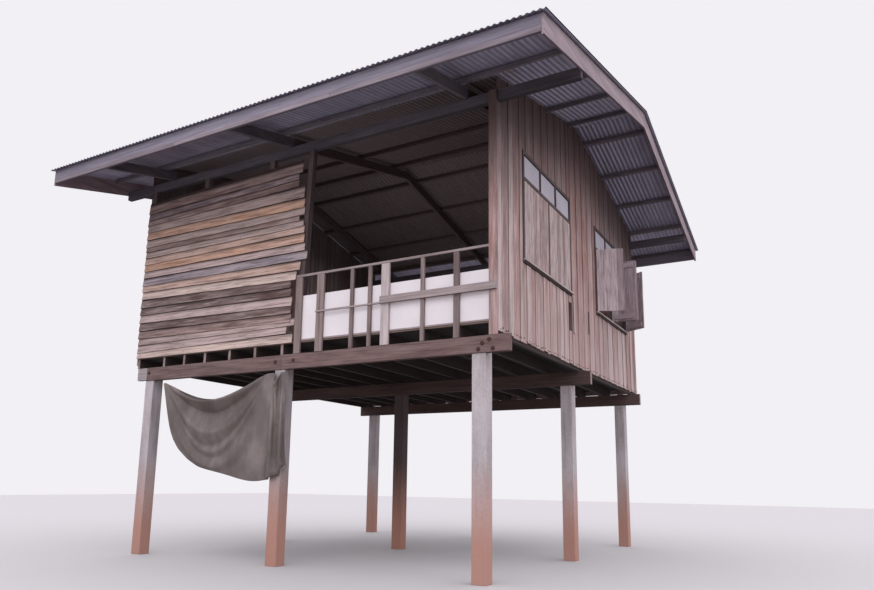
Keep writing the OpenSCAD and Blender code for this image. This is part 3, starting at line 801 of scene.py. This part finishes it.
lapped_wall()
eased("corner_board", WALL_WOOD, "wall_timber", tones=[0.7])
for node in ("corner_posts", "wall_studs", "opening_stud"):
    eased(node, FRAME_WOOD, "frame_timber")
for side in ("front", "back"):
    eased("plate_" + side, PLATE_WOOD, "frame_timber")
    eased("fascia_" + side, FASCIA_WOOD, "fascia_timber", 0.003)
eased("transom_lights", PANE, "transom_glass", 0.001)
for side in ("right", "left"):
    eased("barge_" + side, BARGE_WOOD, "fascia_timber", 0.003)
eased("rafters", RAFTER_WOOD, "frame_timber")
eased("purlins", BEAM_WOOD, "frame_timber")


def fascia_strip():
    """A paler strip nailed along the lower edge of the front fascia board."""
    low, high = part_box("fascia_front")
    rng = random.Random(3)
    deep, thick, lengths, play = 0.068, 0.010, 3, 0.0015
    step = (high[0] - low[0]) / lengths
    foot, face = low[2] + 0.002, low[1] + 0.001
    rows = [board((low[0] + i * step + play, low[0] + (i + 1) * step - play),
                  (face - thick, face), (foot, foot + deep), rng.random()) for i in range(lengths)]
    keep(boards("fascia_front_strip", rows, STRIP_WOOD, "X", cuts=6, warp=0.0, edge=0.002),
         "fascia_timber")


fascia_strip()


# Windows
def window_frame(name, y, node):
    """Jambs, mullion, rails, light bars and sill board of one window, jointed like the real
    ones: uprights run through and the level pieces fit between them."""
    play, bar, sill_thick, sill_deep = 0.0005, 0.030, 0.030, 0.045
    x, end, rail_z = (FRAME_FACE - FRAME_DEEP, FRAME_FACE), y + WIN_W, SILL_Z + LEAF_H
    light = (WIN_W - 2 * bar) / 3
    mullion = y + (WIN_W - MULLION_W) / 2
    foot, head = SILL_Z - FRAME_W + play, WIN_TOP + FRAME_W - play
    uprights = [board(x, (y - FRAME_W + play, y - play), (foot, head), 0.1),
                board(x, (end + play, end + FRAME_W - play), (foot, head), 0.9),
                board(x, (mullion, mullion + MULLION_W), (SILL_Z, rail_z), 0.5)]
    for start in (y + light, y + 2 * light + bar):
        uprights.append(board(x, (start, start + bar), (rail_z + FRAME_W, WIN_TOP), 0.1))
    levels = [board(x, (y, end), (foot, SILL_Z - play), 0.1),
              board(x, (y, end), (rail_z, rail_z + FRAME_W), 0.4),
              board(x, (y, end), (WIN_TOP + play, head), 0.1),
              board((WALL_R, WALL_R + sill_deep), (y - FRAME_W + play, end + FRAME_W - play),
                    (SILL_Z - sill_thick, SILL_Z), 0.9)]
    for part, rows, wood, axis in (("uprights", uprights, FRAME_WOOD, "Z"),
                                   ("levels", levels, FRAME_LEVEL_WOOD, "Y")):
        keep(boards(name + "_" + part, rows, wood, axis, cuts=4, warp=0.0), "frame_timber", node)


def shutter_leaf(name, hinge, angle, turned, node, seed, wood):
    """Upright boards on two ledges. The leaf is turned out by the angle about its hinge line,
    and turned is -1 where it reaches from its hinge towards the front."""
    rng = random.Random(seed)
    a = math.radians(angle)
    reach = Vector((math.sin(a), turned * math.cos(a), 0))
    out = Vector((math.cos(a), -turned * math.sin(a), 0))
    lean = (0, 0, -turned * a)
    shares = [rng.uniform(0.8, 1.2) for _ in range(4)]
    edge, rows = 0.0, []
    for i, share in enumerate(shares):
        wide = share / sum(shares) * LEAF_W
        spot = Vector(hinge) + reach * (edge + wide / 2) + out * (LEAF_T / 2 + rng.uniform(-0.002, 0))
        tall = LEAF_H - 0.002 - rng.uniform(0.0, 0.006)
        rows.append(((spot.x, spot.y, SILL_Z + LEAF_H / 2), (LEAF_T - 0.004, wide - 0.003, tall),
                     lean, 0.99 if i == 0 else rng.uniform(0, 0.9)))
        edge += wide
    keep(boards(name + "_boards", rows, wood, cuts=10, warp=0.0025, edge=0.002),
         "shutter_timber", node)
    spot = Vector(hinge) + reach * LEAF_W / 2 - out * 0.008
    rows = [((spot.x, spot.y, z), (0.018, LEAF_W - 0.08, 0.090), lean, rng.random())
            for z in (SILL_Z + 0.085, SILL_Z + LEAF_H - 0.085)]
    keep(boards(name + "_ledges", rows, LEDGE_WOOD, "Y", cuts=3, warp=0.0, edge=0.002),
         "shutter_timber", node)


window_frame("front_window", WIN_Y[0], "window_frame_front")
window_frame("back_window", WIN_Y[1], "window_frame_back")
CLOSED_X, OPEN_X = FRAME_FACE - LEAF_T, FRAME_FACE + 0.0003
for i in range(4):
    start = WIN_Y[0] + i * LEAF_W + (MULLION_W if i > 1 else 0)
    shutter_leaf("front_leaf_%d" % i, (CLOSED_X, start, 0), 0, 1, "shutters_front", 30 + i,
                 SHUTTER_WOOD)
MID_Y = WIN_Y[1] + WIN_W / 2
OPEN_LEAVES = [("back_leaf_near", WIN_Y[1] - 0.006, 70, 1, "shutter_back_near"),
               ("back_leaf_left", MID_Y - 0.0243, 87, -1, "shutters_back_middle"),
               ("back_leaf_right", MID_Y + 0.0243, 87, 1, "shutters_back_middle"),
               ("back_leaf_far", WIN_Y[1] + WIN_W + 0.006, 60, -1, "shutter_back_far")]
for i, (name, hinge_y, angle, turned, node) in enumerate(OPEN_LEAVES):
    shutter_leaf(name, (OPEN_X, hinge_y, 0), angle, turned, node, 40 + i, OPEN_SHUTTER_WOOD)

# Balustrade
# Tones of the balusters from left to right, the broken pale one among them.
eased("balusters", RAIL_WOOD, "rail_timber", 0.003, tones=[.1, .3, .6, .1, .8, .3, .6])
for node in ("rail_top", "rail_middle", "rail_low"):
    eased(node, RAIL_LEVEL_WOOD, "rail_timber", 0.003, cuts=6, warp=0.004)


def balustrade_panels():
    """Flat white boards butted behind the balusters, with a thin lath along their feet."""
    low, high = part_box("balustrade_panels")
    rng = random.Random(9)
    seams = [low[0]] + [SHIFT.x + x for x in (0.510, 1.345, 2.180)] + [high[0]]
    y, z, tall = (low[1] + high[1]) / 2 + 0.001, (low[2] + high[2]) / 2, high[2] - low[2]
    rows = [(((a + b) / 2, y, z), (b - a - 0.003, 0.006, tall - rng.uniform(0.0, 0.012)),
             (0, rng.uniform(-0.003, 0.003), 0), rng.random()) for a, b in zip(seams, seams[1:])]
    piece = boards("white_panels", rows, PANEL_BOARD, "X", cuts=10, length=0.5, edge=0.001)
    keep(piece, "panel_board", "balustrade_panels")
    lath = [board((low[0], high[0]), (low[1] - 0.006, low[1] + 0.002), (low[2], low[2] + 0.024),
                  0.1)]
    keep(boards("panel_foot_lath", lath, RAIL_LEVEL_WOOD, "X", cuts=8, warp=0.003, edge=0.001),
         "rail_timber")


balustrade_panels()


# Fixings
def heads(name, rows, radius, height):
    """Iron heads; a row is a head's centre and its aim."""
    piece = points_piece(name, rows, ("aim",))
    grow(piece, HEADS, Material=IRON, Radius=radius, Height=height)
    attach(piece, "root")


def girder_bolts():
    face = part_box("girder_front_right")[0][1]
    spots = [(-3.011, 2.885), (-0.289, 2.876), (0.050, 2.881), (3.000, 2.805), (3.054, 2.876),
             (3.149, 2.918), (3.196, 2.802)]
    for part, sunk, radius, height in (("heads", 0.003, 0.016, 0.016),
                                       ("washers", 0.001, 0.030, 0.006)):
        rows = [((SHIFT.x + x, face - sunk, z), (0, -1, 0)) for x, z in spots]
        heads("girder_bolt_" + part, rows, radius, height)


def board_nails():
    """Nails of the lapped planks at their studs, and of the right wall's boards at their foot."""
    rng = random.Random(17)
    wide = SHIFT.x - WALL_L
    rows = []
    for stud in (-3.270, -2.230, -1.130, -0.075):
        for left, right, end in zip(PLANK_LEFT[1:], PLANK_RIGHT[1:], PLANK_ENDS):
            if stud < end - 0.02:
                low = left + (right - left) * (stud + wide) / wide
                rows.append(((SHIFT.x + stud + rng.uniform(-0.02, 0.02), WALL_F + 0.003,
                              low + rng.uniform(0.035, 0.055)), (0, -1, -0.12)))
    heads("plank_nail_heads", rows, 0.0055, 0.006)
    rows = []
    y = WALL_F + 0.10
    while y < WALL_B - 0.05:
        for z in (3.065, 3.075):
            spot = (WALL_R - 0.001, y + rng.uniform(-0.02, 0.02), z + rng.uniform(-0.015, 0.015))
            rows.append((spot, (1, 0, 0)))
            y += 0.088
    heads("wall_nail_heads", rows, 0.010, 0.005)


def loose_stick():
    """A pale stick that hangs beside the long slot in the right wall."""
    row = ((WALL_R + 0.009, SHIFT.y - 0.405, 3.84), (0.016, 0.050, 0.60), (0.02, 0, 0), 0.95)
    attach(boards("loose_stick", [row], WALL_WOOD, cuts=6, edge=0.002), "root")


def roof_nails():
    """Nails on every third crest, over the middle of each purlin."""
    rows = []
    for purlin in PURLINS:
        y = purlin + PURLIN_W / 2
        aim = (0, -ROOF_FALL if y < RIDGE[0] else ROOF_FALL, 1)
        for crest in range(1, int((VERGE_R - VERGE_L) / WAVE), 3):
            rows.append(((VERGE_L + (crest + 0.75) * WAVE, y, roof_z(y) + 0.001), aim))
    heads("roof_nail_heads", rows, 0.009, 0.006)


girder_bolts()
board_nails()
loose_stick()
roof_nails()


# Roof
def slope_sheets(name, eave, node):
    """Two tiers of sheets on one slope, the upper one over the lower one. Each sheet laps its
    neighbour by one wave."""
    rng = random.Random(node)
    run = math.hypot(eave[0] - RIDGE[0], eave[1] - RIDGE[1])
    pitch = math.atan2(RIDGE[1] - eave[1], abs(eave[0] - RIDGE[0]))
    side = -1 if eave[0] < RIDGE[0] else 1
    down = Vector((0, side * math.cos(pitch), -math.sin(pitch)))
    up = Vector((0, side * math.sin(pitch), math.cos(pitch)))
    top = Vector((0, RIDGE[0], RIDGE[1]))
    waves, lap, start = 10, 0.15, 0.006
    cover, wide = waves * WAVE, (waves + 1) * WAVE
    length = (run - start + lap) / 2
    rows = []
    for tier in range(2):
        for i in range(math.ceil((VERGE_R - VERGE_L) / cover)):
            slip = rng.uniform(0.0, 0.008) if tier else 0.0
            along_slope = start + length / 2 + tier * (length - lap) - slip
            lift = -0.0105 + (0.0012 if i % 2 else 0.0) + (0.0015 if not tier else 0.0)
            spot = top + down * along_slope + up * lift
            rows.append(((VERGE_L + i * cover + wide / 2, spot.y, spot.z), (-side * pitch, 0, 0),
                         rng.random()))
    piece = points_piece(name, rows, ("lean", "tone"))
    grow(piece, SHEETS, skin=0.0008, Material=ZINC, Width=wide, Length=length,
         Columns=(waves + 1) * 8 + 1, Depth=0.0165)
    hold(piece, (VERGE_L, VERGE_R), FREE, FREE)
    keep(piece, "roof_metal", node)


slope_sheets("front_roof_sheets", EAVE_F, "roof_sheet_front")
slope_sheets("back_roof_sheets", EAVE_B, "roof_sheet_back")
eased("ridge_cap", ZINC, "roof_metal", 0.0005)


# Cloth screen
def simulate(piece, drawn, stops):
    """Draws the ties together over the first frames and lets the sheet come to rest."""
    pull_end, last = 30, 110
    for moment, value in ((1, 0.0), (pull_end, 1.0)):
        drawn.value = value
        drawn.keyframe_insert("value", frame=moment)
    for stop in stops:
        stop.modifiers.new("stop", "COLLISION")
        stop.collision.thickness_outer = 0.006
    live = piece.modifiers.new("cloth", "CLOTH")
    cloth = live.settings
    cloth.quality, cloth.mass, cloth.air_damping = 8, 0.25, 2.0
    cloth.tension_stiffness, cloth.compression_stiffness, cloth.shear_stiffness = 60, 10, 5
    cloth.bending_stiffness = 0.01
    cloth.vertex_group_mass = "ties"
    cloth.rest_shape_key = piece.data.shape_keys.key_blocks["flat"]
    live.collision_settings.distance_min = 0.006
    live.collision_settings.use_self_collision = True
    live.collision_settings.self_distance_min = 0.005
    live.point_cache.frame_start, live.point_cache.frame_end = 1, last
    for moment in range(1, last + 1):
        bpy.context.scene.frame_set(moment)


def hung_cloth():
    """A worn woven sheet, cut slanting at its left side and foot and tied by patches at its
    corners and its top. It starts flat, wider than its ties, and sags in swags as they draw
    together."""
    wide, tall, columns, rows_ = 2.80, 1.42, 96, 52
    gathered, slant, hem_dip, foot_rise, tie_size = 0.840, 0.12, 0.13, 0.24, 3
    hang_y, centre = SHIFT.y - 3.410, SHIFT.x - 1.465
    step = columns + 1
    rest = []
    for j in range(rows_ + 1):
        v = j / rows_
        for i in range(step):
            u = i / columns
            dip = hem_dip * math.exp(-((u - 0.72) / 0.22) ** 2) - foot_rise * (1 - u) ** 2
            bulge = 0.04 * noise.noise(Vector((u * 5, v * 3, 7.7)))
            rest.append(Vector((centre + (u + slant * v * (1 - u) - gathered / 2) * wide,
                                hang_y - 0.05 + bulge, 2.71 - 0.02 * (1 - u) - v * (tall + dip))))
    ties = [(0, 0, (-2.600, -3.410, 2.690)), (round(gathered * columns), 0, (-0.330, -3.410, 2.710)),
            (columns, 0, (-0.080, -3.385, 2.720)), (0, rows_, (-2.170, -3.360, 1.690)),
            (columns, rows_, (0.000, -3.385, 1.320))]
    tied = {}
    for column, row, target in ties:
        move = Vector(target) + SHIFT - rest[row * step + column]
        tied.update({j * step + i: move for j in range(rows_ + 1) for i in range(step)
                     if abs(j - row) < tie_size and abs(i - column) < tie_size})
    faces = [(a, a + step, a + step + 1, a + 1) for j in range(rows_)
             for a in range(j * step, j * step + columns)]
    mesh = bpy.data.meshes.new("cloth_screen_hung")
    mesh.from_pydata(rest, [], faces)
    layer = mesh.uv_layers.new(name="cloth")
    for loop in mesh.loops:
        layer.data[loop.index].uv = rest[loop.vertex_index].xz
    piece = piece_from("cloth_screen_hung", mesh, WOVEN_SHEET)
    piece.shape_key_add(name="flat")
    drawn = piece.shape_key_add(name="drawn")
    for vert, move in tied.items():
        drawn.data[vert].co = rest[vert] + move
    drawn.value = 1.0
    piece.vertex_groups.new(name="ties").add(list(tied), 1.0, "REPLACE")
    stops = [bpy.data.objects[name + "_worn"] for name in (
        "posts_middle", "posts_front", "girder_front_left", "girder_front_right")]
    simulate(piece, drawn, stops)
    smooth = piece.modifiers.new("smooth", "SUBSURF")
    smooth.levels = smooth.render_levels = 1
    thicken(piece, 0.002, 0.0)
    settle(piece)
    for stop in stops:
        stop.modifiers.clear()
    bpy.context.scene.frame_set(1)
    piece.data.polygons.foreach_set("use_smooth", [True] * len(piece.data.polygons))
    keep(piece, "screen_cloth", "cloth_screen")


hung_cloth()


# Floor, light and camera
def seen_by(tree, *kinds):
    """1 for rays of these kinds and 0 for all others."""
    ray = add(tree, "ShaderNodeLightPath")
    seen = 0.0
    for kind in kinds:
        seen = calc(tree, "MAXIMUM", seen, ray.outputs["Is " + kind + " Ray"])
    return seen


def studio():
    made, tree, shader = new_material("studio_floor")
    colour = mixed(tree, seen_by(tree, "Camera", "Glossy"), "8A827E", "BAB8BA")
    finish(tree, shader, colour, 0.9)
    under = add(tree, "ShaderNodeNewGeometry").outputs["Backfacing"]
    both = out(tree, "ShaderNodeMixShader", {0: under, 1: shader.outputs[0],
               2: out(tree, "ShaderNodeBsdfTransparent")})
    end = next(node for node in tree.nodes if node.type == "OUTPUT_MATERIAL")
    tree.links.new(both, end.inputs[0])
    half = 40.0
    mesh = bpy.data.meshes.new("studio_floor")
    mesh.from_pydata([(-half, -half, 0), (half, -half, 0), (half, half, 0), (-half, half, 0)],
                     [], [(0, 1, 2, 3)])
    piece_from("studio_floor", mesh, made)
    world = bpy.data.worlds.new("soft_sky")
    world.use_nodes = True
    tree = world.node_tree
    tree.nodes.clear()
    sky = ramp(tree, component(tree, add(tree, "ShaderNodeTexCoord").outputs["Generated"], 2),
               [(0.0, 0.42), (1.0, 1.0)])
    light = out(tree, "ShaderNodeBackground", {0: mixed(tree, 1.0, sky, "F4F0F6", "MULTIPLY"),
                1: 2.1})
    shown = out(tree, "ShaderNodeBackground", {0: linear("F2F0F4"), 1: 1.0})
    both = out(tree, "ShaderNodeMixShader", {0: seen_by(tree, "Camera", "Glossy", "Transmission"),
               1: light, 2: shown})
    add(tree, "ShaderNodeOutputWorld", {0: both})
    bpy.context.scene.world = world
    for name, kind, place, target, size, power in (
            ("soft_front", "AREA", (4.0, -15.0, 14.0), (0, 0, 3.5), 9.0, 500.0),
            ("soft_right", "AREA", (15.0, -5.0, 9.0), (0, 0, 3.5), 7.0, 250.0),
            ("low_fill", "SPOT", (-1.0, -13.0, 2.6), (0.5, 0, 6.3), 2.0, 800.0),
            ("room_fill", "AREA", (0.0, 0.0, 3.4), (0.0, 0.01, 6.0), 4.0, 45.0)):
        lamp = bpy.data.lights.new(name, kind)
        lamp.energy = power
        if kind == "SPOT":
            lamp.shadow_soft_size, lamp.spot_size, lamp.spot_blend = size, math.radians(58), 0.9
        else:
            lamp.size = size
        made = bpy.data.objects.new(name, lamp)
        made.location = place
        made.rotation_euler = (Vector(target) - Vector(place)).to_track_quat("-Z", "Y").to_euler()
        made.visible_camera = False
        bpy.context.scene.collection.objects.link(made)
    bpy.context.scene.view_settings.view_transform = "Standard"


def camera():
    data = bpy.data.cameras.new("view")
    data.sensor_fit, data.sensor_width, data.lens = "HORIZONTAL", 36.0, 29.286
    data.shift_x, data.shift_y = 0.0087, 0.0631
    made = bpy.data.objects.new("view", data)
    yaw, pitch, roll = (math.radians(a) for a in (29.69, 10.54, 0.82))
    ahead = Vector((-math.sin(yaw) * math.cos(pitch), math.cos(yaw) * math.cos(pitch),
                    math.sin(pitch)))
    right = Vector((math.cos(yaw), math.sin(yaw), 0))
    up = right.cross(ahead)
    right, up = (math.cos(roll) * right + math.sin(roll) * up,
                 math.cos(roll) * up - math.sin(roll) * right)
    turn = Matrix((right, up, -ahead)).transposed()
    made.matrix_world = Matrix.Translation(Vector((6.756, -11.185, 1.176)) + SHIFT) @ turn.to_4x4()
    bpy.context.scene.collection.objects.link(made)
    bpy.context.scene.camera = made


studio()
camera()
